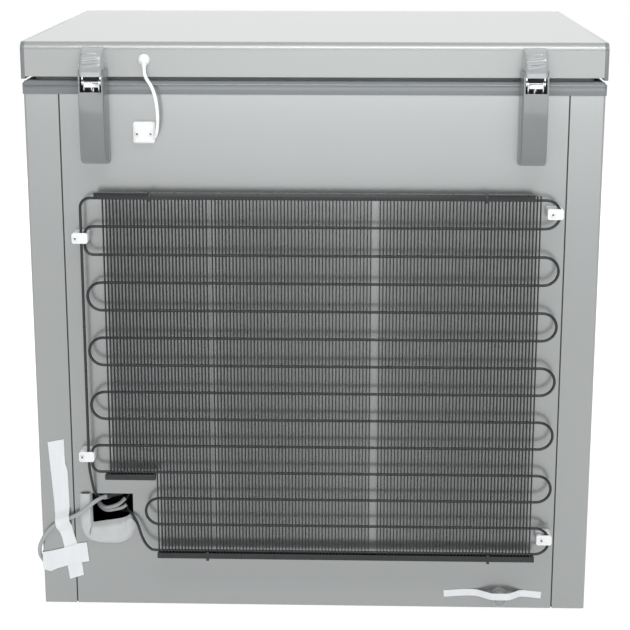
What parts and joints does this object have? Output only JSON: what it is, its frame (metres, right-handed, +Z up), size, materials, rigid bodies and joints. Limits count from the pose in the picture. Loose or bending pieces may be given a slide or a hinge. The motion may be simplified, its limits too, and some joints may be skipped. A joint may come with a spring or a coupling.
{
  "type": "chest freezer",
  "caption": "Free-standing chest freezer with a spring-hinged lid, basket, compressor bay and a wire-on-tube condenser on its back.",
  "frame": {"origin": "on the floor, midway across the width and midway between the handle and the hinge covers", "axes": "+Z up; the front with the handle faces -Y, the condenser faces +Y, +X is the right-hand end seen from the front"},
  "size_m": [0.9193, 0.612, 0.85],
  "materials": {
    "cabinet_metal": "semi-gloss metallic silver",
    "galvanised": "galvanised, matt spangle",
    "foam": "rigid polyurethane foam",
    "liner_white": "white, finely stuccoed",
    "collar_plastic": "glossy dark grey",
    "trim_plastic": "satin mid grey",
    "copper": "bare copper tube",
    "black_enamel": "gloss black enamel",
    "black_plastic": "matt black",
    "vent_plastic": "fine-grained grey",
    "panel_plastic": "satin dark grey",
    "indicator_lens": "clear amber",
    "condenser_enamel": "satin black enamel",
    "white_plastic": "gloss white",
    "zinc": "bright zinc plate",
    "spring_steel": "oiled spring steel",
    "hinge_plastic": "glossy mid grey",
    "white_lead": "soft white PVC",
    "gasket_rubber": "grey vinyl",
    "lens": "frosted",
    "bulb": "pearl",
    "basket_wire": "white coated wire",
    "drain_plastic": "dark grey",
    "foot_plastic": "black nylon",
    "felt": "soft light grey felt",
    "lead_pvc": "grey PVC",
    "plug_plastic": "dark grey PVC",
    "tape": "white film tape"
  },
  "bodies": {
    "root": {"front_panel": "cabinet_metal", "side_panel_right": "cabinet_metal", "side_panel_left": "cabinet_metal", "back_panel": "cabinet_metal", "base_pan": "galvanised", "cabinet_foam": "foam", "inner_liner": "liner_white", "top_collar": "collar_plastic", "evaporator_coil": "copper", "bay_lining": "galvanised", "bay_base_plate": "galvanised", "compressor_shell": "black_enamel", "compressor_mount": "galvanised", "compressor_grommets": "black_plastic", "terminal_box": "black_plastic", "filter_drier": "copper", "bay_pipes": "copper", "vent_grille": "vent_plastic", "control_panel": "panel_plastic", "indicator_lights": "indicator_lens", "thermostat_body": "galvanised", "condenser_tube": "condenser_enamel", "condenser_wires": "condenser_enamel", "condenser_rails": "condenser_enamel", "condenser_clips": "white_plastic", "panel_screws": "zinc", "hinge_brackets": "zinc", "hinge_pins": "zinc", "hinge_springs": "spring_steel", "hinge_covers": "hinge_plastic", "lamp_lead": "white_lead", "lamp_lead_plate": "white_plastic", "drain_pipe": "drain_plastic", "drain_outlet": "drain_plastic", "front_feet": "foot_plastic", "roller_brackets": "galvanised", "roller_axles": "zinc", "hole_pouch": "felt", "mains_lead": "lead_pvc", "mains_lead_coil": "lead_pvc", "lead_gland": "black_plastic", "mains_plug": "plug_plastic", "tape_strips": "tape"},
    "lid": {"hinge_arms": "zinc", "hinge_caps": "hinge_plastic", "lamp_lead_grommet": "white_plastic", "lid_skin": "cabinet_metal", "lid_end_trims": "trim_plastic", "lid_foam": "foam", "lid_liner": "liner_white", "lid_gasket": "gasket_rubber", "lid_handle": "panel_plastic", "lamp_housing": "white_plastic", "lamp_cover": "lens", "lamp_bulb": "bulb"},
    "basket": {"storage_basket": "basket_wire"},
    "plug": {"drain_plug": "white_plastic"},
    "knob": {"thermostat_knob": "panel_plastic"},
    "roller_left_body": {"roller_left": "foot_plastic"},
    "roller_right_body": {"roller_right": "foot_plastic"}
  },
  "joints": [
    {"name": "lid_hinge", "type": "hinge", "parent": "root", "child": "lid", "pos_m": [0, 0.291, 0.797], "axis": [-1, 0, 0], "range_deg": [0, 75], "deforming": ["lamp_lead", "hinge_springs"]},
    {"name": "basket_slide", "type": "slide", "parent": "root", "child": "basket", "axis": [1, 0, 0], "range_m": [-0.465, 0]},
    {"name": "drain_plug_lift", "type": "slide", "parent": "root", "child": "plug", "axis": [0, 0, 1], "range_m": [0, 0.06]},
    {"name": "thermostat_turn", "type": "hinge", "parent": "root", "child": "knob", "pos_m": [0.352, -0.29, 0.13], "axis": [0, 1, 0], "range_deg": [0, 270]},
    {"name": "roller_left_spin", "type": "hinge", "parent": "root", "child": "roller_left_body", "pos_m": [-0.35, 0.209, 0.01], "axis": [1, 0, 0], "continuous": true},
    {"name": "roller_right_spin", "type": "hinge", "parent": "root", "child": "roller_right_body", "pos_m": [0.35, 0.209, 0.01], "axis": [1, 0, 0], "continuous": true}
  ]
}
